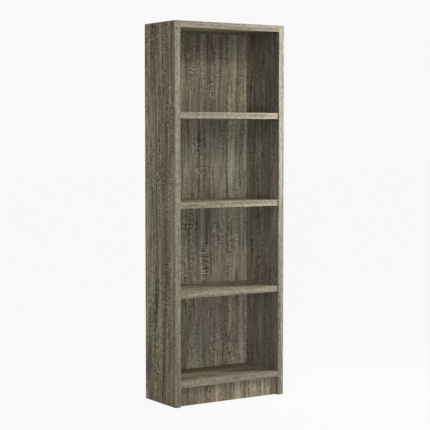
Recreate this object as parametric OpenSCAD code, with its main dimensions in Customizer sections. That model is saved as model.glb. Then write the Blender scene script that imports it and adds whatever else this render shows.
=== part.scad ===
// Open bookcase with three adjustable shelves, in millimetres.
// The origin is on the floor under the middle of the case, +X to the right seen from the front,
// the front faces -Y, and +Z is up.

/* [Case] */
// Overall height
case_h = 1524; // [1000:1:2100]
// Overall width
case_w = 522; // [320:1:1000]
// Overall depth, from the front edges of the sides to the heads of the rear nails
case_d = 240; // [190:1:400]
// Thickness of the sides, the top, the bottom shelf and the adjustable shelves
board_t = 25; // [20:0.5:32]
// Height of the kick plate, which carries the bottom shelf
kick_h = 76; // [62:1:140]
// Thickness of the kick plate
kick_t = 16; // [15:0.5:22]
// Distance from the front of the case to the kick plate
kick_setback = 18; // [8:1:60]
// Thickness of the back panel
back_t = 3; // [2:0.1:8]
// Distance that the back panel stops short of the outer faces
back_inset = 2; // [0:0.5:6]

/* [Edge bands] */
// Thickness of the band on each front edge
band_t = 1; // [0.4:0.1:2]
// Radius of the two front arrises of a band
band_arris_r = 0.7; // [0.2:0.1:1.5]

/* [Adjustable shelves] */
// Gap between each end of a shelf and the side panel
shelf_end_gap = 1; // [0.5:0.1:3]
// Distance from the front of the case to the front of a shelf
shelf_setback = 3; // [0:0.5:20]
// Gap between a shelf and the back panel
shelf_rear_gap = 2; // [0.5:0.5:10]
// Distance between two holes of a row
hole_pitch = 32; // [20:1:40]
// Holes above the one in use, and as many below it
spare_holes = 2; // [1:1:2]
// Distance from the front and rear edges of a side board to a row of holes
hole_inset = 37; // [25:1:60]

/* [Shelf pins] */
// Diameter of the pin holes
pin_hole_d = 5; // [4:0.1:8]
// Depth of the pin holes
pin_hole_depth = 10; // [8:0.5:14]
// Clearance all round a peg in its hole
peg_play = 0.05; // [0.02:0.01:0.1]
// Gap between the end of a peg and the bottom of its hole
peg_end_gap = 0.5; // [0.2:0.1:1]
// How far the collar stands out round the hole
collar_lip = 1.3; // [0.8:0.1:3]
// Thickness of the collar that stops against the side panel
collar_t = 1.5; // [1:0.1:3]
// Height of the tongue's top above the collar
tongue_rise = 0.2; // [0.1:0.1:1]
// Length of the tongue under the shelf, from the side panel
tongue_l = 12; // [8:0.5:20]
// Width of the tongue
tongue_w = 8; // [6:0.5:12]
// Thickness of the tongue
tongue_t = 2.5; // [1.5:0.1:3]
// Radius of the tongue's two free corners
tongue_corner_r = 2; // [0.5:0.5:3]
// Thickness of the rib under the tongue
rib_t = 1.6; // [1:0.1:3]

/* [Cam joints] */
// Diameter of a cam lock
cam_d = 15; // [12:0.5:18]
// Clearance all round a cam lock
cam_play = 0.1; // [0.05:0.05:0.3]
// Distance from a board's end to the centre of its cam lock
cam_reach = 34; // [28:1:44]
// Distance from a board's front and rear edges to its cam joints
cam_inset = 55; // [46:1:70]
// Height and width of the slot that takes the bolt's head
cam_slot = 7.6; // [7:0.1:9]
// Metal left above the slot
cam_roof = 1.5; // [1:0.1:2]
// Depth of a cam's face below the face of its board
cam_recess = 0.4; // [0.1:0.1:1]
// Length of the cross slots in a cam's face
cross_l = 9; // [6:0.5:11]
// Width of the cross slots
cross_w = 1.6; // [1:0.1:2.5]
// Depth of the cross slots
cross_depth = 2; // [1:0.1:2.5]
// Distance from the kick plate's top down to its cam joints
kick_cam_drop = 28; // [24:1:34]
// Diameter of the thread of a cam bolt
thread_d = 5; // [4:0.1:7]
// Length of the thread of a cam bolt
thread_l = 11; // [8:0.5:14]
// Diameter of the flange that stops against the side panel
flange_d = 7.4; // [6.6:0.1:7.8]
// Thickness of the flange
flange_t = 1.2; // [0.8:0.1:2]
// Diameter of the shank
shank_d = 6; // [5:0.1:6.5]
// Diameter of the neck behind the head
neck_d = 4; // [3:0.1:4.5]
// Length of the neck
neck_l = 4.5; // [4:0.1:6]
// Diameter of the head that the cam draws in
bolt_head_d = 6.8; // [6:0.1:6.9]
// Length of the head
bolt_head_l = 5; // [4:0.1:6]
// Diameter of the bore that a bolt passes through
end_bore_d = 8; // [8:0.1:10]

/* [Dowels] */
// Diameter
dowel_d = 8; // [6:0.5:10]
// Length
dowel_l = 30; // [26:1:40]
// Length that sits in the side panel
dowel_in_side = 12; // [8:0.5:14]
// Chamfer at each end
dowel_chamfer = 1; // [0.5:0.1:1.5]
// Distance from a board's front and rear edges to its dowels
dowel_inset = 24; // [15:1:32]
// Height of the kick plate's dowels above the floor
kick_dowel_rise = 20; // [12:1:22]
// Clearance all round a dowel or a bolt's thread
bore_play = 0.05; // [0.02:0.01:0.2]
// Gap left at the bottom of a blind bore
bore_end_gap = 0.5; // [0.2:0.1:1]

/* [Rear nails] */
// Diameter of a nail
nail_d = 1.4; // [1:0.1:2]
// Length of a nail under its head
nail_l = 19; // [12:1:25]
// Diameter of a nail head
nail_head_d = 4.5; // [3:0.1:8]
// Thickness of a nail head
nail_head_t = 0.8; // [0.4:0.1:1.5]
// Length of a nail's point
nail_point_l = 2; // [1:0.5:3]
// Greatest distance between two nails
nail_spacing = 125; // [60:5:200]
// Distance from each corner of the back panel to the first nail
nail_margin = 45; // [40:1:80]

/* [Hidden] */

SHELVES = ["lower", "middle", "upper"];
SIDES = ["left", "right"];
ROWS = ["front", "rear"];
PIN_NODES = [
    for (shelf = SHELVES) for (side = SIDES) for (row = ROWS)
        str(shelf, "_shelf_pin_", side, "_", row)
];

// Finishes
laminate_tone = [0.40, 0.37, 0.32];
back_tone = [0.44, 0.41, 0.36];
band_tone = [0.62, 0.59, 0.51];
nickel_tone = [0.76, 0.75, 0.72];
zinc_tone = [0.66, 0.67, 0.68];
steel_tone = [0.58, 0.58, 0.57];
beech_tone = [0.80, 0.66, 0.46];

// Roundness of cylinders, and the overrun of a cut past the face that it opens
round_fn = 48;
cut = 1;

// Planes of the case
front_y = -case_d / 2;
board_front_y = front_y + band_t;
head_plane_y = case_d / 2 - nail_head_t;
board_rear_y = head_plane_y - back_t;
inner_x = case_w / 2 - board_t;
top_z = case_h - board_t;
bay_floor_z = kick_h + board_t;
top_mid_z = top_z + board_t / 2;
bottom_mid_z = kick_h + board_t / 2;
kick_front_y = front_y + kick_setback;
kick_rear_y = kick_front_y + kick_t;
kick_mid_y = kick_front_y + kick_t / 2;

// Adjustable shelves, spaced so that all the bays are equally high
shelf_count = len(SHELVES);
bay_h = (top_z - bay_floor_z - shelf_count * board_t) / (shelf_count + 1);
function shelf_z(i) = bay_floor_z + bay_h + i * (bay_h + board_t);
shelf_half_w = inner_x - shelf_end_gap;
shelf_front_y = front_y + shelf_setback;
shelf_rear_y = board_rear_y - shelf_rear_gap;
hole_rows_y = [board_front_y + hole_inset, board_rear_y - hole_inset];

// Shelf pins
collar_r = pin_hole_d / 2 + collar_lip;
pin_drop = collar_r + tongue_rise;
peg_l = pin_hole_depth - peg_end_gap;
arris_r = min(band_arris_r, 0.8 * band_t);

// Cam joints and dowels
cam_rows_y = [board_front_y + cam_inset, board_rear_y - cam_inset];
dowel_rows_y = [board_front_y + dowel_inset, board_rear_y - dowel_inset];
kick_cam_z = kick_h - kick_cam_drop;
cam_x = inner_x - cam_reach;
bolt_l = cam_reach + bolt_head_l / 2;
thread_bore_d = thread_d + 2 * bore_play;
dowel_bore_d = dowel_d + 2 * bore_play;
dowel_in_board = dowel_l - dowel_in_side;
function cam_h(thickness) = thickness / 2 - cam_recess + cam_slot / 2 + cam_roof;

// Rear nails
side_nail_x = case_w / 2 - board_t / 2;
function spaced(from, to) =
    let (gaps = ceil((to - from) / nail_spacing))
    [for (i = [0:gaps]) from + i * (to - from) / gaps];

// ---- Shapes that repeat ----

// A shape at the right-hand end of the case, and its mirror image at the left-hand end
module both_ends() {
    children();
    mirror([1, 0, 0]) children();
}

// A round bar along X, from x to x + l
module bar_x(x, y, z, d, l) {
    translate([x, y, z]) rotate([0, 90, 0]) cylinder(d = d, h = l, $fn = round_fn);
}

// A board whose width is centred on X
module board(half_w, y1, y2, z1, thickness) {
    translate([-half_w, y1, z1]) cube([2 * half_w, y2 - y1, thickness]);
}

// The cross-section of an edge band: its back on the X axis, its two front corners rounded
module band_profile(w) {
    intersection() {
        square([w, band_t]);
        union() {
            translate([arris_r, 0]) square([w - 2 * arris_r, band_t]);
            square([w, band_t - arris_r]);
            for (x = [arris_r, w - arris_r])
                translate([x, band_t - arris_r]) circle(r = arris_r, $fn = round_fn);
        }
    }
}

// An edge band along X, with its front at y = front and its underside at z = z1
module level_band(half_w, front, z1) {
    translate([-half_w, front + band_t, z1])
        rotate(180, [1, 0, 1]) linear_extrude(2 * half_w) band_profile(board_t);
}

// ---- Bores ----

// Bores in the inner face of the right side panel for one cam bolt or one dowel
module side_thread_bore(y, z) {
    bar_x(inner_x - cut, y, z, thread_bore_d, thread_l + bore_end_gap + cut);
}

module side_dowel_bore(y, z) {
    bar_x(inner_x - cut, y, z, dowel_bore_d, dowel_in_side + bore_end_gap + cut);
}

// Bores in the right-hand end of a board for one cam bolt or one dowel
module end_bolt_bore(y, z) {
    bar_x(cam_x, y, z, end_bore_d, cam_reach + cut);
}

module end_dowel_bore(y, z) {
    depth = dowel_in_board + bore_end_gap;
    bar_x(inner_x - depth, y, z, dowel_bore_d, depth + cut);
}

// The pocket of a cam lock, up from the face of its board
module cam_pocket(thickness) {
    depth = cam_recess + cam_h(thickness) + bore_end_gap;
    translate([0, 0, -cut]) cylinder(d = cam_d + 2 * cam_play, h = depth + cut, $fn = round_fn);
}

// ---- Fasteners, each at the right-hand end ----

// A cam bolt from the side panel's inner face: its thread along +X, its head along -X
module cam_bolt(y, z) {
    bar_x(inner_x, y, z, thread_d, thread_l);
    bar_x(inner_x - flange_t, y, z, flange_d, flange_t);
    bar_x(inner_x - bolt_l + bolt_head_l, y, z, neck_d, neck_l);
    bar_x(inner_x - bolt_l + bolt_head_l + neck_l, y, z, shank_d, bolt_l - bolt_head_l - neck_l);
    bar_x(inner_x - bolt_l, y, z, bolt_head_d, bolt_head_l);
}

// A cam lock standing on its slotted face, with the mouth of its slot towards +X
module cam_lock(thickness) {
    axis_z = thickness / 2 - cam_recess;
    difference() {
        cylinder(d = cam_d, h = cam_h(thickness), $fn = round_fn);
        translate([-cam_slot / 2, -cam_slot / 2, axis_z - cam_slot / 2])
            cube([cam_d, cam_slot, cam_slot]);
        for (turn = [0, 90])
            rotate([0, 0, turn]) translate([-cross_l / 2, -cross_w / 2, -cut])
                cube([cross_l, cross_w, cross_depth + cut]);
    }
}

// A dowel across the joint between a board and the side panel
module dowel(y, z) {
    tip_r = dowel_d / 2 - dowel_chamfer;
    translate([inner_x - dowel_in_board, y, z]) rotate([0, 90, 0]) {
        cylinder(r1 = tip_r, r2 = dowel_d / 2, h = dowel_chamfer, $fn = round_fn);
        translate([0, 0, dowel_chamfer])
            cylinder(d = dowel_d, h = dowel_l - 2 * dowel_chamfer, $fn = round_fn);
        translate([0, 0, dowel_l - dowel_chamfer])
            cylinder(r1 = dowel_d / 2, r2 = tip_r, h = dowel_chamfer, $fn = round_fn);
    }
}

// A nail driven forwards from the rear face of the back panel
module nail(x, z) {
    translate([x, case_d / 2, z]) rotate([90, 0, 0]) {
        cylinder(d = nail_head_d, h = nail_head_t, $fn = round_fn);
        cylinder(d = nail_d, h = nail_head_t + nail_l - nail_point_l, $fn = round_fn);
        translate([0, 0, nail_head_t + nail_l - nail_point_l])
            cylinder(d1 = nail_d, d2 = 0, h = nail_point_l, $fn = round_fn);
    }
}

// A right-hand shelf pin: a peg in the side panel, a collar, and a ribbed tongue under the shelf
module shelf_pin(y, z) {
    translate([0, y, z]) {
        bar_x(inner_x, 0, 0, pin_hole_d - 2 * peg_play, peg_l);
        bar_x(inner_x - collar_t, 0, 0, 2 * collar_r, collar_t);
        translate([inner_x - tongue_l, 0, pin_drop - tongue_t]) linear_extrude(tongue_t) {
            translate([tongue_corner_r, -tongue_w / 2]) square([tongue_l - tongue_corner_r, tongue_w]);
            translate([0, tongue_corner_r - tongue_w / 2])
                square([tongue_l, tongue_w - 2 * tongue_corner_r]);
            for (side = [-1, 1])
                translate([tongue_corner_r, side * (tongue_w / 2 - tongue_corner_r)])
                    circle(r = tongue_corner_r, $fn = round_fn);
        }
        pin_rib();
    }
}

// The rib, deepest at the collar and running out at the tongue's free end
module pin_rib() {
    translate([0, rib_t / 2, 0]) rotate([90, 0, 0]) linear_extrude(rib_t)
        polygon([
            [inner_x - collar_t / 2, -collar_r + rib_t / 2],
            [inner_x - collar_t / 2, pin_drop - tongue_t / 2],
            [inner_x - tongue_l + tongue_corner_r, pin_drop - tongue_t / 2]
        ]);
}

// ---- Case ----

module side_panel() {
    color(laminate_tone) difference() {
        translate([inner_x, board_front_y, 0])
            cube([board_t, board_rear_y - board_front_y, case_h]);
        for (y = hole_rows_y, i = [0:shelf_count - 1], k = [-spare_holes:spare_holes])
            bar_x(inner_x - cut, y, shelf_z(i) - pin_drop + k * hole_pitch, pin_hole_d, pin_hole_depth + cut);
        for (z = [top_mid_z, bottom_mid_z]) {
            for (y = cam_rows_y) side_thread_bore(y, z);
            for (y = dowel_rows_y) side_dowel_bore(y, z);
        }
        side_thread_bore(kick_mid_y, kick_cam_z);
        side_dowel_bore(kick_mid_y, kick_dowel_rise);
    }
}

module right_side_panel() {
    side_panel();
}

module left_side_panel() {
    mirror([1, 0, 0]) side_panel();
}

// A fixed board between the sides, held at each end by two cam joints and two dowels
module fixed_board(z1) {
    color(laminate_tone) difference() {
        board(inner_x, board_front_y, board_rear_y, z1, board_t);
        both_ends() {
            for (y = cam_rows_y) {
                end_bolt_bore(y, z1 + board_t / 2);
                translate([cam_x, y, z1]) cam_pocket(board_t);
            }
            for (y = dowel_rows_y) end_dowel_bore(y, z1 + board_t / 2);
        }
    }
}

module top_panel() {
    fixed_board(top_z);
}

module bottom_shelf() {
    fixed_board(kick_h);
}

module kick_plate() {
    color(laminate_tone) difference() {
        board(inner_x, kick_front_y, kick_rear_y, 0, kick_h);
        both_ends() {
            end_bolt_bore(kick_mid_y, kick_cam_z);
            translate([cam_x, kick_rear_y, kick_cam_z]) rotate([90, 0, 0]) cam_pocket(kick_t);
            end_dowel_bore(kick_mid_y, kick_dowel_rise);
        }
    }
}

module back_panel() {
    color(back_tone)
        board(case_w / 2 - back_inset, board_rear_y, head_plane_y, kick_h, case_h - back_inset - kick_h);
}

module side_edge_band() {
    color(band_tone) translate([inner_x, front_y + band_t, 0])
        mirror([0, 1, 0]) linear_extrude(case_h) band_profile(board_t);
}

module right_side_edge_band() {
    side_edge_band();
}

module left_side_edge_band() {
    mirror([1, 0, 0]) side_edge_band();
}

module top_edge_band() {
    color(band_tone) level_band(inner_x, front_y, top_z);
}

module bottom_shelf_edge_band() {
    color(band_tone) level_band(inner_x, front_y, kick_h);
}

// ---- Adjustable shelves ----

module adjustable_shelf(i) {
    color(laminate_tone)
        board(shelf_half_w, shelf_front_y + band_t, shelf_rear_y, shelf_z(i), board_t);
}

module adjustable_shelf_band(i) {
    color(band_tone) level_band(shelf_half_w, shelf_front_y, shelf_z(i));
}

// The pin of one shelf (0 is the lowest) at one end (0 is left) in one row of holes (0 is the front)
module placed_pin(i, end, row) {
    color(nickel_tone) mirror([1 - end, 0, 0])
        shelf_pin(hole_rows_y[row], shelf_z(i) - pin_drop);
}

// ---- Fasteners ----

module cam_bolts(z) {
    color(steel_tone) both_ends() for (y = cam_rows_y) cam_bolt(y, z);
}

module cam_locks(z1) {
    color(zinc_tone) both_ends() for (y = cam_rows_y)
        translate([cam_x, y, z1 + cam_recess]) cam_lock(board_t);
}

module dowels(z) {
    color(beech_tone) both_ends() for (y = dowel_rows_y) dowel(y, z);
}

module top_cam_bolts() {
    cam_bolts(top_mid_z);
}

module bottom_cam_bolts() {
    cam_bolts(bottom_mid_z);
}

module kick_cam_bolts() {
    color(steel_tone) both_ends() cam_bolt(kick_mid_y, kick_cam_z);
}

module top_cam_locks() {
    cam_locks(top_z);
}

module bottom_cam_locks() {
    cam_locks(kick_h);
}

module kick_cam_locks() {
    color(zinc_tone) both_ends() translate([cam_x, kick_rear_y - cam_recess, kick_cam_z])
        rotate([90, 0, 0]) cam_lock(kick_t);
}

module top_dowels() {
    dowels(top_mid_z);
}

module bottom_dowels() {
    dowels(bottom_mid_z);
}

module kick_dowels() {
    color(beech_tone) both_ends() dowel(kick_mid_y, kick_dowel_rise);
}

module back_panel_nails() {
    color(steel_tone) {
        both_ends() for (z = spaced(kick_h + nail_margin, case_h - back_inset - nail_margin))
            nail(side_nail_x, z);
        for (z = [bottom_mid_z, top_mid_z], x = spaced(nail_margin - inner_x, inner_x - nail_margin))
            nail(x, z);
    }
}

// ---- Nodes ----

left_side_panel();
right_side_panel();
top_panel();
bottom_shelf();
kick_plate();
back_panel();
left_side_edge_band();
right_side_edge_band();
top_edge_band();
bottom_shelf_edge_band();
adjustable_shelf(0);  // lower_shelf
adjustable_shelf(1);  // middle_shelf
adjustable_shelf(2);  // upper_shelf
adjustable_shelf_band(0);  // lower_shelf_edge_band
adjustable_shelf_band(1);  // middle_shelf_edge_band
adjustable_shelf_band(2);  // upper_shelf_edge_band
top_cam_bolts();
bottom_cam_bolts();
kick_cam_bolts();
top_cam_locks();
bottom_cam_locks();
kick_cam_locks();
top_dowels();
bottom_dowels();
kick_dowels();
back_panel_nails();
for (i = [0:len(SHELVES) - 1], end = [0:1], row = [0:1])
    placed_pin(i, end, row);
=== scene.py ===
"""Looks of an open bookcase with three adjustable shelves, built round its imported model, in metres."""

import math

import bpy
from mathutils import Matrix, Vector


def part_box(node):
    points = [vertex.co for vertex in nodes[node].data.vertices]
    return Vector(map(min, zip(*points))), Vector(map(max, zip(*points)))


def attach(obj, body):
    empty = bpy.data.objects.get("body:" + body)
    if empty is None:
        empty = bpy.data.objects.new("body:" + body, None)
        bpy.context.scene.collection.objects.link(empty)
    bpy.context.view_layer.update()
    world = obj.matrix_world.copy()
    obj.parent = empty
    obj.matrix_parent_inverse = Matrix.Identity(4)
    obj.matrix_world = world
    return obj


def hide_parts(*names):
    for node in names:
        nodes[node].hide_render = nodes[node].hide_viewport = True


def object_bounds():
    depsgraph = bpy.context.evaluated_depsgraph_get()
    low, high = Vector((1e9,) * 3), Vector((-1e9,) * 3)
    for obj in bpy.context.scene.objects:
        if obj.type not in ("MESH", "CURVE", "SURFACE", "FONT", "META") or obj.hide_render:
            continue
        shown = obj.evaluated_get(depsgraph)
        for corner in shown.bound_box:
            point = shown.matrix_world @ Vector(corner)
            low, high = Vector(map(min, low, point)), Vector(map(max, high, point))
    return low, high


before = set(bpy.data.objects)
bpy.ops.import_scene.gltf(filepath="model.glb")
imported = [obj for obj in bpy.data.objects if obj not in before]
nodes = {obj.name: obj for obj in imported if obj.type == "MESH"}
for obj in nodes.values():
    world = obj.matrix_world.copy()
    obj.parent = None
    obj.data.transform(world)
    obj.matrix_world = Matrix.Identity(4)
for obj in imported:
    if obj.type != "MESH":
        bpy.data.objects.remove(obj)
cad_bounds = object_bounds()

X, Y, Z = 0, 1, 2
MM = 0.001
SHELVES = ("lower", "middle", "upper")
SIDES = ("left", "right")
ROWS = ("front", "rear")

# ---- Sizes, from the frame ----

case_low, case_high = (Vector(corner) for corner in cad_bounds)
case_height = case_high.z
inner_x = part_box("right_side_panel")[0].x


# ---- Camera ----

def aim(thing, target):
    """Turns a camera or a light towards a point."""
    direction = Vector(target) - thing.location
    thing.rotation_euler = direction.to_track_quat("-Z", "Y").to_euler()


def add_camera():
    """A long lens in front of the case and to its left, above its middle, which looks slightly down."""
    turn, pitch = math.radians(32.73), math.radians(3.601)
    left_of_case, before_case, height = 1.725, 2.873, 0.7132  # in case heights
    data = bpy.data.cameras.new("camera")
    data.lens = 109.33
    data.sensor_width = 36.0
    data.clip_end = 100.0
    camera = bpy.data.objects.new("camera", data)
    bpy.context.scene.collection.objects.link(camera)
    camera.location = (
        case_low.x - left_of_case * case_height,
        case_low.y - before_case * case_height,
        height * case_height,
    )
    level = math.cos(pitch)
    forward = Vector((math.sin(turn) * level, math.cos(turn) * level, -math.sin(pitch)))
    aim(camera, camera.location + forward)
    bpy.context.scene.camera = camera


# ---- Shader trees ----

def link(tree, source, target):
    """Puts a socket or a plain value into a socket."""
    if isinstance(source, bpy.types.NodeSocket):
        tree.links.new(source, target)
    else:
        target.default_value = source


def add(tree, kind, inputs=None, **settings):
    """A new node, its settings first and then its inputs."""
    node = tree.nodes.new(kind)
    for name, value in settings.items():
        setattr(node, name, value)
    for name, value in (inputs or {}).items():
        link(tree, value, node.inputs[name])
    return node


def calc(tree, operation, *values):
    """The result of a Math node."""
    node = add(tree, "ShaderNodeMath", operation=operation)
    for value, socket in zip(values, node.inputs):
        link(tree, value, socket)
    return node.outputs[0]


def total(tree, *values):
    """The sum of several values."""
    result = values[0]
    for value in values[1:]:
        result = calc(tree, "ADD", result, value)
    return result


def times(tree, *values):
    """The product of several values."""
    result = values[0]
    for value in values[1:]:
        result = calc(tree, "MULTIPLY", result, value)
    return result


def vector(tree, operation, *values):
    """The result of a Vector Math node."""
    node = add(tree, "ShaderNodeVectorMath", operation=operation)
    for value, socket in zip(values, node.inputs):
        link(tree, value, socket)
    return node.outputs[0]


def split(tree, source):
    """The three parts of a vector."""
    return list(add(tree, "ShaderNodeSeparateXYZ", {0: source}).outputs)


def join(tree, x, y, z):
    """A vector from three parts."""
    return add(tree, "ShaderNodeCombineXYZ", {0: x, 1: y, 2: z}).outputs[0]


def noise(tree, place, cells, detail=2.0, roughness=0.5, distortion=0.0):
    """Noise from 0 to 1, with so many cells in a metre along each axis."""
    inputs = {
        "Vector": vector(tree, "MULTIPLY", place, cells), "Scale": 1.0,
        "Detail": detail, "Roughness": roughness, "Distortion": distortion,
    }
    return add(tree, "ShaderNodeTexNoise", inputs).outputs["Fac"]


def fade(tree, value, start, end, low=0.0, high=1.0):
    """A smooth step from low at start to high at end."""
    inputs = {"Value": value, "From Min": start, "From Max": end, "To Min": low, "To Max": high}
    node = add(tree, "ShaderNodeMapRange", inputs, interpolation_type="SMOOTHSTEP")
    return node.outputs["Result"]


MIX_SHARE, MIX_FIRST, MIX_SECOND, MIX_RESULT = 0, 6, 7, 2  # a Mix node's sockets for colours


def blend(tree, share, first, second, mode="MIX"):
    """Two colours mixed."""
    inputs = {MIX_SHARE: share, MIX_FIRST: first, MIX_SECOND: second}
    node = add(tree, "ShaderNodeMix", inputs, data_type="RGBA", blend_type=mode)
    return node.outputs[MIX_RESULT]


def scaled_colour(tree, colour, factor):
    """A colour made lighter or darker."""
    node = add(tree, "ShaderNodeVectorMath", {0: colour, "Scale": factor}, operation="SCALE")
    return node.outputs[0]


def ramp(tree, value, stops, smooth=True):
    """A colour ramp with stops of (place, colour). If it isn't smooth, the colour jumps at each stop."""
    node = add(tree, "ShaderNodeValToRGB", {0: value})
    node.color_ramp.interpolation = "LINEAR" if smooth else "CONSTANT"
    elements = node.color_ramp.elements
    while len(elements) < len(stops):
        elements.new(1.0)
    for element, (place, colour) in zip(elements, stops):
        element.position = place
        element.color = colour
    return node.outputs[0]


def srgb(red, green, blue):
    """A linear colour from 8-bit sRGB levels."""
    def linear(level):
        """One level made linear."""
        share = level / 255
        return share / 12.92 if share <= 0.04045 else ((share + 0.055) / 1.055) ** 2.4
    return (linear(red), linear(green), linear(blue), 1.0)


def group(name, inputs, outputs):
    """A new shader node group, with its input and output sockets. A socket is (name, kind, default)."""
    tree = bpy.data.node_groups.new(name, "ShaderNodeTree")
    for label, kind, default in inputs:
        socket = tree.interface.new_socket(label, in_out="INPUT", socket_type=f"NodeSocket{kind}")
        if default is not None:
            socket.default_value = default
    for label, kind in outputs:
        tree.interface.new_socket(label, in_out="OUTPUT", socket_type=f"NodeSocket{kind}")
    return tree, add(tree, "NodeGroupInput").outputs, add(tree, "NodeGroupOutput").inputs


def placed(tree, effect, inputs):
    """A group placed in a material with its own values, as its output sockets."""
    node = add(tree, "ShaderNodeGroup", node_tree=effect)
    for name, value in inputs.items():
        link(tree, value, node.inputs[name])
    return node.outputs


def new_material(name):
    """A material, its shader tree and the sockets of its Principled shader."""
    material = bpy.data.materials.new(name)
    material.use_nodes = True
    tree = material.node_tree
    shader = next(n for n in tree.nodes if n.type == "BSDF_PRINCIPLED")
    return material, tree, shader.inputs


def object_place(tree):
    """Object coordinates, which are metres in the case's own frame."""
    return add(tree, "ShaderNodeTexCoord").outputs["Object"]


def bump(tree, height, strength, distance):
    """A bump normal, its distance in metres."""
    inputs = {"Height": height, "Strength": strength, "Distance": distance}
    return add(tree, "ShaderNodeBump", inputs).outputs["Normal"]


# ---- Printed woodgrain ----

PORE = srgb(58, 52, 45)
DARK_GRAIN = srgb(90, 82, 71)
MID_GRAIN = srgb(122, 114, 100)
LIGHT_GRAIN = srgb(160, 153, 137)
WARM_TINT = srgb(203, 186, 174)
GREEN_TINT = srgb(190, 187, 171)
PRINT_STRENGTH = 1.94  # brings the tinted print back to the laminate's own lightness
PLACE_ONLY = [("Place", "Vector", None)]
COLOUR_AND_HEIGHT = [("Color", "Color"), ("Height", "Float")]


def weathered_oak():
    """Weathered oak print. Place has X across the grain, Y through the board and Z along the grain."""
    sockets = [
        ("Place", "Vector", None), ("Plank", "Float", 0.0), ("Tone", "Float", 1.0),
        ("Figure", "Float", 1.0), ("Coarseness", "Float", 1.0),
        ("Saw Marks", "Float", 0.0), ("Knot", "Float", 0.0),
    ]
    tree, given, made = group("weathered_oak", sockets, COLOUR_AND_HEIGHT)
    own = calc(tree, "MULTIPLY", given["Plank"], 3.37)
    shifted = vector(tree, "ADD", given["Place"], join(tree, own, own, own))

    # the grain wanders sideways along its length
    wander = noise(tree, shifted, (5.0, 5.0, 2.2), detail=2.0)
    sway = noise(tree, shifted, (22.0, 22.0, 9.0), detail=1.0)
    offset = total(tree, times(tree, wander, 0.030), times(tree, sway, 0.008))
    bent = vector(tree, "ADD", shifted, join(tree, offset, 0.0, 0.0))
    x, y, z = split(tree, bent)

    # growth lines, which close into long arches
    hill = noise(tree, bent, (11.0, 11.0, 1.3), detail=1.0)
    rings = calc(tree, "PINGPONG", times(tree, hill, 19.0), 0.5)
    ring_dark = fade(tree, rings, 0.16, 0.0)

    # streaks along the grain, from broad to fine, and open pores
    bands = noise(tree, bent, (30.0, 30.0, 0.8), detail=2.0, roughness=0.6)
    streaks = noise(tree, bent, (72.0, 72.0, 3.0), detail=2.0, roughness=0.6)
    lines = noise(tree, bent, (210.0, 210.0, 9.0), detail=2.0, roughness=0.6)
    threads = noise(tree, bent, (560.0, 560.0, 26.0), detail=2.0, roughness=0.6)
    pores = fade(tree, noise(tree, bent, (1150.0, 1150.0, 48.0), detail=1.0), 0.60, 0.74)

    # short flecks that lean to either side of the grain, and ripples across it
    def leaning(slope):
        """The place with its grain leant sideways."""
        return join(tree, total(tree, x, times(tree, z, slope)), y, z)

    fleck_cells = (135.0, 135.0, 100.0)
    right_flecks = noise(tree, leaning(0.55), fleck_cells, detail=2.0, roughness=0.65)
    left_flecks = noise(tree, leaning(-0.55), fleck_cells, detail=2.0, roughness=0.65)
    sides = noise(tree, shifted, (16.0, 16.0, 6.0), detail=1.0)
    flecks = blend(tree, fade(tree, sides, 0.45, 0.55), right_flecks, left_flecks)
    ripples = noise(tree, leaning(0.2), (48.0, 48.0, 150.0), detail=2.0, roughness=0.65, distortion=0.5)
    patches = fade(tree, noise(tree, shifted, (13.0, 13.0, 4.0), detail=1.0), 0.38, 0.62, 0.55, 1.3)
    curl = times(tree, patches, given["Figure"])

    # short marks of the saw across the grain
    saw_lines = noise(tree, leaning(0.45), (38.0, 38.0, 210.0), detail=1.0, distortion=0.4)
    saw_light = fade(tree, saw_lines, 0.55, 0.66, 0.0, 0.42)
    saw_dark = fade(tree, saw_lines, 0.45, 0.34, 0.0, -0.30)
    saw = total(tree, saw_light, saw_dark)

    # the whirl round a knot
    whirl = noise(tree, bent, (62.0, 62.0, 48.0), detail=1.0, distortion=2.4)
    knot = fade(tree, whirl, 0.36, 0.64, -0.46, 0.50)

    def swing(value, weight):
        """A value from 0 to 1 made to swing about 0 by a weight."""
        return times(tree, calc(tree, "SUBTRACT", value, 0.5), weight)

    streaked = times(tree, total(tree, swing(bands, 0.60), swing(streaks, 1.10)), given["Coarseness"])
    curled = times(tree, total(tree, swing(flecks, 0.95), swing(ripples, 0.85)), curl)
    level = total(
        tree, 0.55, streaked, swing(lines, 0.95), swing(threads, 0.60), curled,
        times(tree, ring_dark, -0.10), times(tree, saw, given["Saw Marks"]),
        times(tree, knot, given["Knot"]), times(tree, pores, -0.22),
    )
    level = calc(tree, "MAXIMUM", level, 0.0)

    wood = ramp(tree, level, [(0.0, PORE), (0.30, DARK_GRAIN), (0.58, MID_GRAIN), (1.0, LIGHT_GRAIN)])
    hue = noise(tree, bent, (24.0, 24.0, 1.4), detail=2.0)
    tint = blend(tree, fade(tree, hue, 0.36, 0.64), WARM_TINT, GREEN_TINT)
    tinted = blend(tree, 0.85, wood, tint, mode="MULTIPLY")
    link(tree, scaled_colour(tree, tinted, times(tree, given["Tone"], PRINT_STRENGTH)), made["Color"])
    link(tree, total(tree, level, times(tree, pores, -0.6)), made["Height"])
    return tree


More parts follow.
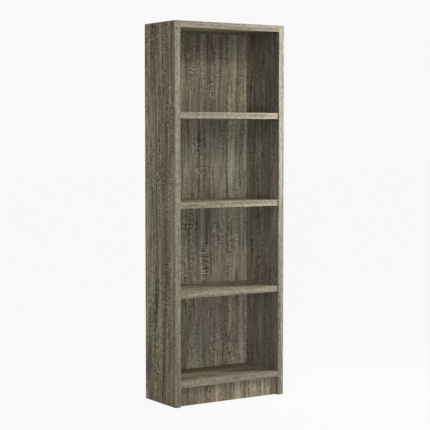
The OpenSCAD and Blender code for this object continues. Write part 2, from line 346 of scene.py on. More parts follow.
def band_print():
    """The print of an edge band: finer than the faces. Place is as for the faces."""
    tree, given, made = group("band_print", PLACE_ONLY, COLOUR_AND_HEIGHT)
    place = given["Place"]
    sway = times(tree, noise(tree, place, (20.0, 20.0, 7.0)), 0.006)
    bent = vector(tree, "ADD", place, join(tree, sway, sway, 0.0))
    bands = noise(tree, bent, (95.0, 95.0, 2.0), detail=2.0)
    streaks = noise(tree, bent, (300.0, 300.0, 12.0), detail=3.0, roughness=0.6)
    blotches = noise(tree, bent, (60.0, 60.0, 60.0), detail=3.0, roughness=0.7)
    flecks = noise(tree, bent, (160.0, 160.0, 130.0), detail=2.0, roughness=0.6)
    pores = fade(tree, noise(tree, bent, (1300.0, 1300.0, 60.0), detail=1.0), 0.62, 0.74)
    level = total(
        tree, times(tree, bands, 0.40), times(tree, streaks, 0.35), times(tree, blotches, 0.45),
        times(tree, flecks, 0.40), times(tree, pores, -0.10), -0.25,
    )
    stops = [(0.34, srgb(84, 76, 63)), (0.52, srgb(131, 123, 106)), (0.71, srgb(172, 163, 144))]
    link(tree, ramp(tree, level, stops), made["Color"])
    link(tree, level, made["Height"])
    return tree


def chipboard():
    """Raw particle board: pale chips of two sizes."""
    tree, given, made = group("chipboard", PLACE_ONLY, COLOUR_AND_HEIGHT)
    big = add(tree, "ShaderNodeTexVoronoi", {"Vector": given["Place"], "Scale": 420.0}).outputs["Color"]
    small = add(tree, "ShaderNodeTexVoronoi", {"Vector": given["Place"], "Scale": 1100.0}).outputs["Color"]
    chips = total(tree, times(tree, split(tree, big)[0], 0.6), times(tree, split(tree, small)[1], 0.4))
    stops = [(0.0, srgb(116, 88, 60)), (0.45, srgb(176, 146, 108)), (1.0, srgb(214, 190, 152))]
    link(tree, ramp(tree, chips, stops), made["Color"])
    link(tree, chips, made["Height"])
    return tree


OAK = weathered_oak()
BAND = band_print()
CHIPS = chipboard()
FOIL = 0.35 * MM  # thickness of the printed layer on each face
SEAM_HALF_WIDTH = 1.6 * MM
BRIGHTEST_TONE = 2.0  # a ramp holds tones as shares of this


def spots(tree, u, w, places):
    """A mask that is 1 in soft ellipses, each given as (across, along, half width, half height) in mm."""
    mask = None
    for across, along, half_width, half_height in places:
        du = calc(tree, "DIVIDE", calc(tree, "SUBTRACT", u, across * MM), half_width * MM)
        dw = calc(tree, "DIVIDE", calc(tree, "SUBTRACT", w, along * MM), half_height * MM)
        far = total(tree, times(tree, du, du), times(tree, dw, dw))
        spot = fade(tree, far, 1.5, 0.4)
        mask = spot if mask is None else calc(tree, "MAXIMUM", mask, spot)
    return 0.0 if mask is None else mask


def board_material(name, node, axes, seams, tone_and_light_stripes, figure=1.0, coarseness=1.0, shift=0.0,
                   saw_spots=(), knot_spots=(), covered_end=False, rear_colour=None):
    """Printed laminate on a board's two faces, and raw chipboard inside them.

    axes are those across the grain, along it and through the board. seams are the places in mm where one
    plank of the print ends, and stripes are (place in mm, lightness) across the grain. On the side panels,
    the bottom shelf, the kick plate and the back, the stripes are partly the print's lighter and darker
    planks and partly painted light and shade. shift, in metres, gives each board its own stretch of the
    print.
    covered_end prints the board's far end too. rear_colour, a dark and a light one, replaces the chipboard
    and the second face with plain mottled hardboard."""
    across, along, thick = axes
    low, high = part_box(node)
    material, tree, shader = new_material(name)
    parts = split(tree, object_place(tree))
    u, w = parts[across], parts[along]
    depth = calc(tree, "SUBTRACT", parts[thick], low[thick])
    thickness = (high - low)[thick]
    other_face = fade(tree, depth, 0.4 * thickness, 0.6 * thickness, 0.0, 1.7)
    place = join(tree, total(tree, u, shift), other_face, total(tree, w, other_face))

    span = high[across] - low[across]
    share = calc(tree, "DIVIDE", calc(tree, "SUBTRACT", u, low[across]), span)
    starts = [low[across]] + [seam * MM for seam in seams]
    plank = ramp(tree, share, [
        ((start - low[across]) / span, (k / len(starts),) * 3 + (1.0,)) for k, start in enumerate(starts)
    ], smooth=False)
    # lightness across the grain from the stripes: partly the print's planks, partly painted light and shade
    tone_and_light = ramp(tree, share, [
        ((at * MM - low[across]) / span, (value / BRIGHTEST_TONE,) * 3 + (1.0,)) for at, value in tone_and_light_stripes
    ])
    wood = placed(tree, OAK, {
        "Place": place, "Plank": plank, "Tone": times(tree, tone_and_light, BRIGHTEST_TONE),
        "Figure": figure, "Coarseness": coarseness,
        "Saw Marks": spots(tree, u, w, saw_spots), "Knot": spots(tree, u, w, knot_spots),
    })
    colour = wood["Color"]
    for seam in seams:
        off = calc(tree, "ABSOLUTE", calc(tree, "SUBTRACT", u, seam * MM))
        dark = fade(tree, off, SEAM_HALF_WIDTH, 0.3 * SEAM_HALF_WIDTH, 0.0, 0.38)
        colour = blend(tree, dark, colour, PORE)

    past_first_face = calc(tree, "GREATER_THAN", depth, FOIL)
    before_second_face = calc(tree, "LESS_THAN", depth, thickness - FOIL)
    inside = times(tree, past_first_face, before_second_face)
    if covered_end:
        inside = times(tree, inside, calc(tree, "LESS_THAN", w, high[along] - FOIL))
    raw = placed(tree, CHIPS, {"Place": join(tree, *parts)})
    colour = blend(tree, inside, colour, raw["Color"])
    height = wood["Height"]
    if rear_colour:
        fibres = noise(tree, join(tree, *parts), (90.0, 90.0, 90.0), detail=5.0, roughness=0.75)
        clouds = noise(tree, join(tree, *parts), (9.0, 9.0, 5.0), detail=3.0, roughness=0.6)
        mottle = total(tree, times(tree, fibres, 0.6), times(tree, clouds, 0.4))
        rear = ramp(tree, mottle, [(0.38, rear_colour[0]), (0.62, rear_colour[1])])
        behind = calc(tree, "GREATER_THAN", depth, FOIL)
        in_front = calc(tree, "SUBTRACT", 1.0, behind)
        colour = blend(tree, behind, colour, rear)
        height = total(tree, times(tree, height, in_front), times(tree, mottle, behind))
    link(tree, colour, shader["Base Color"])
    link(tree, fade(tree, height, 0.0, 1.0, 0.68, 0.50), shader["Roughness"])
    link(tree, bump(tree, height, 0.35, 0.25 * MM), shader["Normal"])
    shader["Specular IOR Level"].default_value = 0.3
    return material


def band_material(name, along):
    """An edge band whose print runs along its length."""
    material, tree, shader = new_material(name)
    parts = split(tree, object_place(tree))
    others = [parts[k] for k in (X, Y, Z) if k != along]
    wood = placed(tree, BAND, {"Place": join(tree, *others, parts[along])})
    link(tree, wood["Color"], shader["Base Color"])
    link(tree, fade(tree, wood["Height"], 0.2, 0.8, 0.55, 0.42), shader["Roughness"])
    link(tree, bump(tree, wood["Height"], 0.2, 0.15 * MM), shader["Normal"])
    shader["Specular IOR Level"].default_value = 0.4
    return material


def paint(piece, material):
    """Gives a piece one material."""
    slots = piece.data.materials
    slots.clear()
    slots.append(material)


def finish_boards():
    """Materials of the boards, the back panel and the edge bands."""
    upright, level = (Y, Z, X), (Y, X, Z)
    # The left panel's stripes across its depth are partly the print's planks and partly painted light and
    # shade.
    left = board_material(
        "left_side_laminate", "left_side_panel", upright, [-20],
        [(-117, 0.98), (-105, 0.74), (-86, 1.04), (-50, 0.80), (-24, 0.78), (-16, 0.98), (14, 1.16),
         (36, 0.88), (64, 0.86), (84, 1.12), (104, 1.16)],
        figure=1.45, coarseness=1.4, covered_end=True,
        saw_spots=[(-92, 1200, 26, 30), (-90, 560, 26, 36), (-38, 1414, 26, 20), (-70, 900, 20, 16)],
        knot_spots=[(0, 415, 14, 20), (-10, 1000, 12, 16)],
    )
    # The right panel's stripes are partly the print's planks and partly painted light and shade: darker at
    # the front and lighter towards the rear, against the shade inside the case.
    right = board_material(
        "right_side_laminate", "right_side_panel", upright, [-20, 50],
        [(-119, 0.86), (-50, 0.84), (-24, 0.84), (-16, 1.00), (10, 1.12), (30, 1.00), (68, 0.99),
         (84, 1.16), (110, 1.10)],
        figure=0.9, coarseness=0.8, shift=2.0, covered_end=True,
        saw_spots=[(-80, 1010, 24, 30), (-86, 480, 24, 40), (70, 620, 20, 40)],
        knot_spots=[(30, 980, 16, 22)],
    )
    paint(nodes["left_side_panel"], left)
    paint(nodes["right_side_panel"], right)
    paint(nodes["top_panel"], board_material(
        "top_laminate", "top_panel", level, [-30, 60], [(-119, 1.0), (0, 0.92), (116, 1.04)], shift=4.0))
    # The bottom shelf's stripes darken it towards the rear: painted shade at the back of the shelf, over
    # the print's planks.
    paint(nodes["bottom_shelf"], board_material(
        "bottom_shelf_laminate", "bottom_shelf", level, [-60, 35],
        [(-119, 0.84), (-62, 0.86), (-58, 0.80), (33, 0.84), (38, 0.70), (116, 0.66)], shift=6.0))
    for k, shelf in enumerate(SHELVES):
        first_seam, second_seam = 20 * k - 50, 45 - 15 * k
        paint(nodes[f"{shelf}_shelf"], board_material(
            f"{shelf}_shelf_laminate", f"{shelf}_shelf", level, [first_seam, second_seam],
            [(-116, 1.0), (first_seam, 1.06), (first_seam + 4, 0.94), (second_seam, 1.0), (114, 1.02)],
            shift=8.0 + 2 * k))
    # The kick plate's stripes along it are partly the print's planks and partly painted light and shade.
    paint(nodes["kick_plate"], board_material(
        "kick_plate_laminate", "kick_plate", (X, Z, Y), [-88, 15, 143],
        [(-236, 0.70), (-180, 0.68), (-110, 0.86), (-88, 0.76), (-54, 1.14), (-34, 0.86), (0, 1.04),
         (15, 0.80), (45, 1.36), (65, 0.96), (85, 0.90), (95, 1.12), (130, 1.04), (145, 0.84),
         (167, 1.24), (180, 1.04), (196, 1.28), (225, 1.0)],
        figure=0.8, shift=14.0, knot_spots=[(-90, 45, 12, 24)]))
    # The back's stripes are partly the print's planks and partly painted light and shade; from 140 mm on to
    # the right they are lighter as painted light.
    paint(nodes["back_panel"], board_material(
        "back_print", "back_panel", (X, Z, Y), [-150, 1, 50, 130, 193, 221],
        [(-259, 1.0), (-24, 1.0), (-16, 0.84), (0, 0.80), (6, 0.96), (34, 0.94), (42, 0.76), (52, 0.76),
         (58, 0.94), (108, 0.96), (118, 0.80), (128, 0.88), (140, 1.22), (152, 1.46), (166, 1.22),
         (186, 1.38), (198, 1.18), (216, 1.24), (224, 1.46)],
        shift=16.0, rear_colour=(srgb(146, 116, 84), srgb(198, 168, 130)),
        saw_spots=[(-20, 1340, 30, 16), (66, 1290, 30, 22), (25, 1060, 34, 18), (22, 540, 26, 90),
                   (-16, 245, 22, 12), (70, 222, 30, 18), (-60, 700, 26, 40), (90, 660, 30, 60)],
        knot_spots=[(-20, 1022, 22, 38), (-8, 930, 10, 30), (62, 1250, 14, 22), (60, 180, 14, 24),
                    (36, 600, 10, 24)]))
    upright_band = band_material("upright_edge_band", Z)
    level_band = band_material("level_edge_band", X)
    for side in SIDES:
        paint(nodes[f"{side}_side_edge_band"], upright_band)
    for name in ("top", "bottom_shelf", *(f"{shelf}_shelf" for shelf in SHELVES)):
        paint(nodes[f"{name}_edge_band"], level_band)


# ---- Modelling helpers ----

SHARP_ANGLE = math.radians(35)
BEVEL_ANGLE = math.radians(30)
HALF_TURN = Matrix.Rotation(math.pi, 4, "Z")
FACING_REAR = Matrix.Rotation(math.pi / 2, 4, "X")  # turns a piece's underside to the rear


def nothing_selected():
    """Back to object mode with nothing selected."""
    if bpy.context.mode != "OBJECT":
        bpy.ops.object.mode_set(mode="OBJECT")
    bpy.ops.object.select_all(action="DESELECT")


def only_selected(piece):
    """Selects one piece and makes it the active one."""
    nothing_selected()
    piece.select_set(True)
    bpy.context.view_layer.objects.active = piece


def select_faces(piece, wanted):
    """In edit mode, selects just the faces whose centre and normal pass a test."""
    bpy.ops.mesh.select_mode(type="FACE")
    bpy.ops.mesh.select_all(action="DESELECT")
    bpy.ops.object.mode_set(mode="OBJECT")
    for face in piece.data.polygons:
        face.select = wanted(face.center, face.normal)
    bpy.ops.object.mode_set(mode="EDIT")


def settle(piece):
    """Puts a piece's place into its mesh."""
    only_selected(piece)
    bpy.ops.object.transform_apply(location=True, rotation=True, scale=True)


def turned(name, start, axis, steps, sides=32):
    """A part turned on a lathe about an axis, "X", "Y" or "Z" with a minus sign where it runs back.

    steps are (along in mm from start, diameter in mm), from one end of the part to the other."""
    sign = -1 if axis.startswith("-") else 1
    along = "XYZ".index(axis[-1])
    direction = Vector([sign if k == along else 0 for k in range(3)])
    facing = {X: (0, math.pi / 2 * sign, 0), Y: (-math.pi / 2 * sign, 0, 0), Z: (0, 0, 0)}[along]
    first_along, first_diameter = steps[0]
    nothing_selected()
    bpy.ops.mesh.primitive_circle_add(
        vertices=sides, radius=first_diameter / 2 * MM, fill_type="NGON",
        location=Vector(start) + direction * first_along * MM, rotation=facing)
    piece = bpy.context.object
    piece.name = name
    settle(piece)
    bpy.ops.object.mode_set(mode="EDIT")
    bpy.ops.mesh.select_all(action="SELECT")
    for (last, last_diameter), (here, diameter) in zip(steps, steps[1:]):
        centre = Vector(start) + direction * here * MM
        move = direction * (here - last) * MM
        bpy.ops.mesh.extrude_region_move(TRANSFORM_OT_translate={"value": move})
        ratio = diameter / last_diameter
        size = [1 if k == along else ratio for k in range(3)]
        bpy.ops.transform.resize(value=size, center_override=centre)
    bpy.ops.mesh.select_all(action="SELECT")
    bpy.ops.mesh.remove_doubles(threshold=0.002 * MM)
    bpy.ops.mesh.normals_make_consistent(inside=False)
    bpy.ops.object.mode_set(mode="OBJECT")
    smooth(piece)
    return piece


def smooth(piece):
    """Smooth faces, with sharp edges kept."""
    only_selected(piece)
    bpy.ops.object.shade_smooth_by_angle(angle=SHARP_ANGLE)


def block(name, low, high):
    """A box between two corners, in mm."""
    low, high = Vector(low) * MM, Vector(high) * MM
    nothing_selected()
    bpy.ops.mesh.primitive_cube_add(size=1.0, location=(low + high) / 2)
    piece = bpy.context.object
    piece.name = name
    piece.scale = high - low
    settle(piece)
    return piece


def bevel(piece, width):
    """Rounds a piece's edges by a width in mm."""
    only_selected(piece)
    rounding = piece.modifiers.new("rounding", "BEVEL")
    rounding.width = width * MM
    rounding.segments = 2
    rounding.limit_method = "ANGLE"
    rounding.angle_limit = BEVEL_ANGLE
    bpy.ops.object.modifier_apply(modifier=rounding.name)


def combine(piece, tool, operation):
    """Cuts a tool out of a piece with "DIFFERENCE" or joins it on with "UNION", and deletes the tool."""
    only_selected(piece)
    change = piece.modifiers.new("change", "BOOLEAN")
    change.operation = operation
    change.solver = "EXACT"
    change.object = tool
    bpy.ops.object.modifier_apply(modifier=change.name)
    bpy.data.objects.remove(tool)


def copied(piece, name, turn=None, to=(0, 0, 0)):
    """A copy with its own mesh, turned by a matrix and then moved."""
    copy = piece.copy()
    copy.data = piece.data.copy()
    copy.name = name
    bpy.context.scene.collection.objects.link(copy)
    copy.data.transform(Matrix.Translation(to) @ (turn or Matrix.Identity(4)))
    return copy


def joined(name, pieces):
    """Several pieces as one object."""
    nothing_selected()
    for piece in pieces:
        piece.select_set(True)
    bpy.context.view_layer.objects.active = pieces[0]
    bpy.ops.object.join()
    whole = bpy.context.object
    whole.name = name
    whole.data.name = name
    return whole


def fitted(piece, material, body, slot, *stands_for):
    """A finished piece: its material, the body it rides on, its slot, which is not used, and the nodes it
    stands for.
    """
    paint(piece, material)
    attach(piece, body)
    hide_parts(*stands_for)


# ---- Metals and beech ----

def metal_material(name, colour, rough, grain):
    """Plated or plain metal with fine drawn lines. grain is cells in a metre along each axis."""
    material, tree, shader = new_material(name)
    place = object_place(tree)
    lines = noise(tree, place, grain, detail=3.0, roughness=0.6)
    dull = noise(tree, place, (180.0, 180.0, 180.0), detail=2.0)
    darker = tuple(0.72 * part for part in colour[:3]) + (1.0,)
    link(tree, blend(tree, fade(tree, dull, 0.30, 0.70), darker, colour), shader["Base Color"])
    link(tree, fade(tree, lines, 0.25, 0.75, rough - 0.10, rough + 0.14), shader["Roughness"])
    link(tree, bump(tree, lines, 0.15, 0.05 * MM), shader["Normal"])
    shader["Metallic"].default_value = 1.0
    return material


def beech_material():
    """Beech with its short dark flecks along X."""
    material, tree, shader = new_material("dowel_beech")
    place = object_place(tree)
    grain = noise(tree, place, (60.0, 700.0, 700.0), detail=3.0, roughness=0.6)
    flecks = fade(tree, noise(tree, place, (380.0, 1500.0, 1500.0), detail=1.0), 0.60, 0.72)
    wood = ramp(tree, grain, [(0.3, srgb(186, 146, 102)), (0.7, srgb(222, 188, 142))])
    link(tree, blend(tree, times(tree, flecks, 0.5), wood, srgb(142, 100, 64)), shader["Base Color"])
    link(tree, fade(tree, grain, 0.3, 0.7, 0.62, 0.48), shader["Roughness"])
    link(tree, bump(tree, grain, 0.3, 0.1 * MM), shader["Normal"])
    return material


# ---- Shelf pins ----

# Lengths are in mm, and a step is (along from the panel's face, diameter).
PEG_STEPS = [(-9.5, 3.6), (-8.9, 4.6), (-8.3, 4.9), (-4.4, 4.9), (-4.2, 4.5), (-3.6, 4.5), (-3.4, 4.9)]
COLLAR_STEPS = [(0, 4.9), (0, 6.8), (0.3, 7.6), (1.2, 7.6), (1.5, 6.8)]
PIN_DROP = 4.0  # from the shelf's underside to the pin's axis
TONGUE_ROOT, TONGUE_TIP, TONGUE_WIDTH, TONGUE_THICKNESS = 0.2, 12.0, 8.0, 2.5
TONGUE_CORNER, TONGUE_EDGE = 2.0, 0.3
RIB_ROOT, RIB_TIP, RIB_THICKNESS, RIB_EDGE = 0.4, 10.0, 1.6, 0.2
RIB_RISE = 0.6  # from the collar's last rim up to the rib's foot
RIB_FOOT_SHARE = 0.25  # length of the rib's foot as a share of its top
OVERLAP = 0.1  # how far the rib reaches into the tongue, so that they join


def shelf_pin():
    """A shelf pin on the left side panel, its axis along X from the origin, at the panel's face."""
    pin = turned("pin", (0, 0, 0), "X", PEG_STEPS + COLLAR_STEPS)
    half = TONGUE_WIDTH / 2
    underside = PIN_DROP - TONGUE_THICKNESS
    tongue = block("tongue", (TONGUE_ROOT, -half, underside), (TONGUE_TIP, half, PIN_DROP))
    only_selected(tongue)
    bpy.ops.object.mode_set(mode="EDIT")
    bpy.ops.mesh.select_mode(type="EDGE")
    bpy.ops.mesh.select_all(action="DESELECT")
    bpy.ops.object.mode_set(mode="OBJECT")
    # the two upright edges at the tip
    for edge in tongue.data.edges:
        ends = [tongue.data.vertices[v].co for v in edge.vertices]
        edge.select = all(end.x > 0.9 * TONGUE_TIP * MM for end in ends) and ends[0].y == ends[1].y
    bpy.ops.object.mode_set(mode="EDIT")
    bpy.ops.mesh.bevel(offset=TONGUE_CORNER * MM, segments=5)
    bpy.ops.object.mode_set(mode="OBJECT")
    bevel(tongue, TONGUE_EDGE)

    rib_half = RIB_THICKNESS / 2
    rib_foot = -COLLAR_STEPS[-1][1] / 2 + RIB_RISE
    rib = block("rib", (RIB_ROOT, -rib_half, rib_foot), (RIB_TIP, rib_half, underside + OVERLAP))
    only_selected(rib)
    bpy.ops.object.mode_set(mode="EDIT")
    select_faces(rib, lambda centre, normal: normal.z < -0.9)
    root = Vector((RIB_ROOT, 0, underside)) * MM
    bpy.ops.transform.resize(value=(RIB_FOOT_SHARE, 1, 1), center_override=root)
    bpy.ops.object.mode_set(mode="OBJECT")
    bevel(rib, RIB_EDGE)
    combine(tongue, rib, "UNION")
    combine(pin, tongue, "UNION")
    smooth(pin)
    return pin


def add_pins():
    """Twelve pins, each standing for its node."""
    # The pins' metal is darker than bright nickel: painted shade, so that the pins stay dark under the
    # shelves.
    metal = metal_material("pin_nickel", srgb(128, 123, 112), 0.34, grain=(900.0, 160.0, 160.0))
    pattern = shelf_pin()
    sides = {"left": (-inner_x, None), "right": (inner_x, HALF_TURN)}
    for shelf in SHELVES:
        for side in SIDES:
            for row in ROWS:
                node = f"{shelf}_shelf_pin_{side}_{row}"
                low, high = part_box(node)
                face_x, turn = sides[side]
                place = (face_x, (low.y + high.y) / 2, high.z - PIN_DROP * MM)
                pin = copied(pattern, f"{node}_metal", turn, place)
                fitted(pin, metal, node, "pin_nickel", node)
    bpy.data.objects.remove(pattern)


# ---- Cam joints and dowels ----

# Lengths are in mm.
CAM_DIAMETER, CAM_RIM, CAM_RECESS, CAM_SLOT, CAM_ROOF = 15.0, 0.4, 0.4, 7.6, 1.5
GROOVE_TOP, GROOVE_HEIGHT, GROOVE_DEPTH, GROOVE_SLOPE = -3.9, 0.7, 0.4, 0.2  # top is from the slot's middle
CROSS_LENGTH, CROSS_WIDTH, CROSS_DEPTH = 9.0, 1.6, 2.0
ARROW_GAP, ARROW_LENGTH, ARROW_WIDTH, ARROW_DEPTH = 0.5, 1.5, 1.0, 0.3
THROUGH = 1.0  # how far a cutter starts outside the face it cuts
CAM_REACH = 34.0  # from a board's end to the middle of its cam lock


def cam_lock(board_thickness):
    """A cam lock with its exposed face down at the origin, and its head slot open towards +X."""
    axis = board_thickness / 2 - CAM_RECESS
    height = axis + CAM_SLOT / 2 + CAM_ROOF
    wide = CAM_DIAMETER
    rim_wide = wide - 2 * CAM_RIM
    groove_wide = wide - 2 * GROOVE_DEPTH
    groove_top = axis + GROOVE_TOP
    groove_foot = groove_top - GROOVE_HEIGHT
    cam = turned("cam", (0, 0, 0), "Z", [
        (0, rim_wide), (CAM_RIM, wide),
        (groove_foot, wide), (groove_foot + GROOVE_SLOPE, groove_wide),
        (groove_top - GROOVE_SLOPE, groove_wide), (groove_top, wide),
        (height - CAM_RIM, wide), (height, rim_wide),
    ], sides=48)
    half = CAM_SLOT / 2
    reach = CROSS_LENGTH / 2
    arm = CROSS_WIDTH / 2
    arrow_start = reach + ARROW_GAP
    arrow_half = ARROW_WIDTH / 2
    combine(cam, block("slot", (-half, -half, axis - half), (wide, half, axis + half)), "DIFFERENCE")
    for x, y in ((reach, arm), (arm, reach)):
        combine(cam, block("cross", (-x, -y, -THROUGH), (x, y, CROSS_DEPTH)), "DIFFERENCE")
    arrow_end = arrow_start + ARROW_LENGTH
    arrow = block("arrow", (arrow_start, -arrow_half, -THROUGH), (arrow_end, arrow_half, ARROW_DEPTH))
    combine(cam, arrow, "DIFFERENCE")
    smooth(cam)
    return cam


def bolt_steps():
    """Steps of a cam bolt from its head to the tip of its screw, in mm from the side panel's face."""
    length, head, neck, flange = 36.5, 5.0, 4.5, 1.2
    head_wide, neck_wide, stem_wide, flange_wide = 6.8, 4.0, 6.0, 7.4
    head_foot = -length + head
    neck_foot = head_foot + neck
    steps = [(-length, head_wide - 1.2), (-length + 0.6, head_wide)]
    steps += [(head_foot - 0.5, head_wide), (head_foot, head_wide - 1.0)]
    steps += [(head_foot, neck_wide), (neck_foot, neck_wide)]
    steps += [(neck_foot, stem_wide - 0.4), (neck_foot + 0.3, stem_wide), (-flange, stem_wide)]
    steps += [(-flange, flange_wide - 0.4), (-flange + 0.2, flange_wide), (-0.1, flange_wide)]

    pitch, thread_depth, threads, screw_wide = 2.0, 0.45, 5, 5.0
    core_wide = screw_wide - 2 * thread_depth
    steps += [(0, screw_wide)]
    for k in range(threads):
        foot, crest = k * pitch, (k + 1) * pitch
        steps += [(foot + 0.3, core_wide), (crest - 0.35, core_wide), (crest - 0.05, screw_wide)]
    end = threads * pitch
    return steps + [(end + 0.4, screw_wide - 0.6), (end + 1.0, screw_wide - 2.6)]


def add_cam_joints():
    """Cam locks, cam bolts and dowels at the ends of the top, the bottom shelf and the kick plate."""
    zinc = metal_material("cam_zinc", srgb(176, 177, 176), 0.42, grain=(260.0, 260.0, 260.0))
    steel = metal_material("bolt_steel", srgb(168, 166, 160), 0.32, grain=(220.0, 900.0, 900.0))
    beech = beech_material()
    bolt = turned("bolt", (0, 0, 0), "X", bolt_steps(), sides=24)
    rod = fluted_dowel()
    top_low, top_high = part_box("top_panel")
    kick_low, kick_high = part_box("kick_plate")
    board_lock = cam_lock((top_high - top_low).z / MM)
    kick_lock = cam_lock((kick_high - kick_low).y / MM)
    lock_x = inner_x - CAM_REACH * MM
    for part in ("top", "bottom", "kick"):
        add_set(part, "cam_bolts", bolt, steel, "bolt_steel", inner_x)
        add_set(part, "dowels", rod, beech, "dowel_beech", inner_x)
    for part in ("top", "bottom"):
        add_set(part, "cam_locks", board_lock, zinc, "cam_zinc", lock_x)
    rear_lock = copied(kick_lock, "rear_lock", FACING_REAR)
    add_set("kick", "cam_locks", rear_lock, zinc, "cam_zinc", lock_x)
    for pattern in (bolt, rod, board_lock, kick_lock, rear_lock):
        bpy.data.objects.remove(pattern)


def add_set(part, kind, pattern, material, slot, centre_x):
    """A part's fittings of one kind, one at each end of one or two rows, as one piece for their node."""
    node = f"{part}_{kind}"
    low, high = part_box(node)
    own_low = [min(v.co[k] for v in pattern.data.vertices) for k in range(3)]
    own_high = [max(v.co[k] for v in pattern.data.vertices) for k in range(3)]
    one_row = (high.y - low.y) < 1.5 * (own_high[Y] - own_low[Y])
    rows = [low.y - own_low[Y]] if one_row else [low.y - own_low[Y], high.y - own_high[Y]]
    height = low.z - own_low[Z]
    right = [copied(pattern, node, to=(centre_x, y, height)) for y in rows]
    # a half turn swaps the two ends of a fitting's own stretch of Y
    turned_rows = [y + (own_low[Y] + own_high[Y]) for y in rows]
    left = [copied(pattern, node, HALF_TURN, (-centre_x, y, height)) for y in turned_rows]
    fitted(joined(f"{node}_fitted", right + left), material, "case", slot, node)


def fluted_dowel():
    """A beech dowel along X with chamfered ends and glue flutes. The side panel's face is at the origin."""
    diameter, length, in_side, chamfer = 8.0, 30.0, 12.0, 1.0
    flutes, flute_depth, flute_slope = 16, 0.35, 0.12
    start = in_side - length
    end_wide = diameter - 2 * chamfer
    rod = turned("rod", (0, 0, 0), "X", [
        (start, end_wide), (start + chamfer, diameter), (in_side - chamfer, diameter), (in_side, end_wide),
    ], sides=3 * flutes)
    middle = (in_side + start) / 2 * MM
    flute_angle = 2 * math.pi / flutes

    def in_flute(centre, normal):
        """Whether a face is one of the long ones, and the first of its flute's three."""
        angle = math.atan2(centre.z, centre.y) % flute_angle
        return abs(centre.x - middle) < MM and abs(normal.x) < 0.1 and angle < flute_angle / 3

    only_selected(rod)
    bpy.ops.object.mode_set(mode="EDIT")
    select_faces(rod, in_flute)
    bpy.ops.mesh.inset(thickness=flute_slope * MM, depth=-flute_depth * MM, use_individual=True)
    bpy.ops.object.mode_set(mode="OBJECT")
    smooth(rod)
    return rod


# ---- Nails of the back panel ----

# (along, diameter) in mm, from the top of the head to the point.
NAIL_STEPS = [(0, 3.4), (0.15, 4.2), (0.4, 4.5), (0.8, 4.3), (0.8, 1.4), (17.8, 1.4), (19.8, 0.2)]


def add_nails():
    """A round-headed nail at each nail of the CAD node, found by the tips of their points."""
    steel = metal_material("nail_steel", srgb(150, 146, 140), 0.38, grain=(500.0, 500.0, 500.0))
    low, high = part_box("back_panel_nails")
    pattern = turned("nail", (0, 0, 0), "-Y", NAIL_STEPS, sides=16)
    tips = set()
    for vertex in nodes["back_panel_nails"].data.vertices:
        if vertex.co.y < low.y + 0.01 * MM:
            tips.add((round(vertex.co.x, 5), round(vertex.co.z, 5)))
    nails = [copied(pattern, "nail", to=(x, high.y, z)) for x, z in sorted(tips)]
    bpy.data.objects.remove(pattern)
    fitted(joined("back_panel_nails_driven", nails), steel, "case", "nail_steel", "back_panel_nails")


# ---- Floor and light ----

WHITE = (1.0, 1.0, 1.0, 1.0)
FLOOR_MATT = (0.45, 0.45, 0.45, 1.0)
FLOOR_GLOW, FLOOR_GLOW_SHARE = 0.985, 0.94
FILL_COLOUR, FILL_STRENGTH = (0.95, 1.02, 1.07, 1.0), 0.36
BACKDROP_STRENGTH = 0.94


def add_floor():
    """A plain pale floor, which keeps only a trace of the case's shadow."""
    nothing_selected()
    bpy.ops.mesh.primitive_plane_add(size=60.0, location=(0, 0, 0))
    floor = bpy.context.object
    floor.name = "floor"
    material = bpy.data.materials.new("pale_floor")
    material.use_nodes = True
    tree = material.node_tree
    tree.nodes.clear()
    matt = add(tree, "ShaderNodeBsdfDiffuse", {"Color": FLOOR_MATT})
    glow = add(tree, "ShaderNodeEmission", {"Color": WHITE, "Strength": FLOOR_GLOW})
    seen = times(tree, add(tree, "ShaderNodeLightPath").outputs["Is Camera Ray"], FLOOR_GLOW_SHARE)
    mixed = add(tree, "ShaderNodeMixShader", {0: seen, 1: matt.outputs[0], 2: glow.outputs[0]})
    out = add(tree, "ShaderNodeOutputMaterial")
    tree.links.new(mixed.outputs[0], out.inputs[0])
    floor.data.materials.append(material)


def add_world():
    """Even light from all round, and the paler backdrop that the camera sees."""
    world = bpy.data.worlds.new("studio")
    bpy.context.scene.world = world
    world.use_nodes = True
    tree = world.node_tree
    tree.nodes.clear()
    fill = add(tree, "ShaderNodeBackground", {"Color": FILL_COLOUR, "Strength": FILL_STRENGTH})
    backdrop = add(tree, "ShaderNodeBackground", {"Color": WHITE, "Strength": BACKDROP_STRENGTH})
    seen = add(tree, "ShaderNodeLightPath").outputs["Is Camera Ray"]
    mixed = add(tree, "ShaderNodeMixShader", {0: seen, 1: fill.outputs[0], 2: backdrop.outputs[0]})
    out = add(tree, "ShaderNodeOutputWorld")
    tree.links.new(mixed.outputs[0], out.inputs[0])


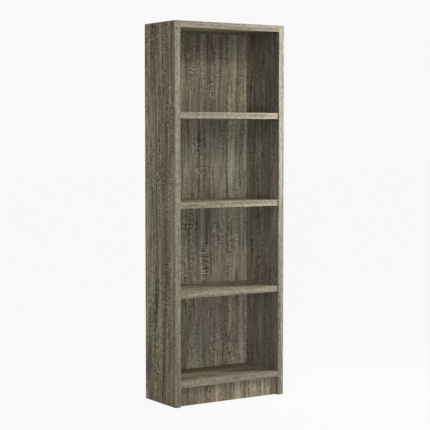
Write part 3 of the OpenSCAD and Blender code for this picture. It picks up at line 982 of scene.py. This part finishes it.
def add_lamp(name, place, target, size, power, colour=(1.0, 1.0, 1.0), lights=None, spread=180):
    """A round lamp that faces a point, in metres, watts and degrees.

    lights is the collection that it reaches, or None for everything."""
    data = bpy.data.lights.new(name, "AREA")
    data.shape = "DISK"
    data.size = size
    data.energy = power
    data.color = colour
    data.spread = math.radians(spread)
    lamp = bpy.data.objects.new(name, data)
    bpy.context.scene.collection.objects.link(lamp)
    lamp.location = place
    aim(lamp, target)
    lamp.light_linking.receiver_collection = lights


def inside_of_the_case():
    """The nodes that the inside lamps reach: all but the left side panel and the edge bands."""
    inside = bpy.data.collections.new("inside_of_the_case")
    bpy.context.scene.collection.children.link(inside)
    for name, node in nodes.items():
        if name != "left_side_panel" and not name.endswith("edge_band"):
            inside.objects.link(node)
    return inside


def light_case():
    """A small high key, two lamps on the right, soft ones on the left and in front, and two inside."""
    middle = (0.0, case_low.y, 0.5 * case_height)
    upper_bays, lower_bays = (0.10, 0.0, 0.90), (0.10, 0.0, 0.50)
    inside = inside_of_the_case()
    warm, cool = (1.03, 1.01, 0.80), (0.87, 1.04, 1.30)
    add_lamp("key", (0.27, -1.78, 2.33), middle, 0.16, 10.2, warm)
    add_lamp("high_right", (1.00, -0.50, 1.45), (0.10, -0.10, 0.90), 0.30, 12.4)
    add_lamp("low_right", (1.30, -0.60, 0.90), (0.10, -0.10, 0.80), 0.30, 15.0, (1.04, 0.98, 0.94))
    add_lamp("left", (-2.60, 0.20, 0.80), middle, 1.00, 17.5)
    add_lamp("front", (-0.30, -4.00, 0.90), middle, 1.50, 19.3, (0.95, 1.02, 1.08))
    add_lamp("inside_low", (-1.40, -2.00, 0.60), lower_bays, 0.70, 2.05, cool, inside, 60)
    add_lamp("inside_high", (-0.50, -1.60, 1.90), upper_bays, 0.60, 0.87, cool, inside, 60)


add_camera()
finish_boards()
add_pins()
add_cam_joints()
add_nails()
add_floor()
add_world()
light_case()

scene = bpy.context.scene
scene.view_settings.view_transform = "Standard"
scene.view_settings.look = "None"
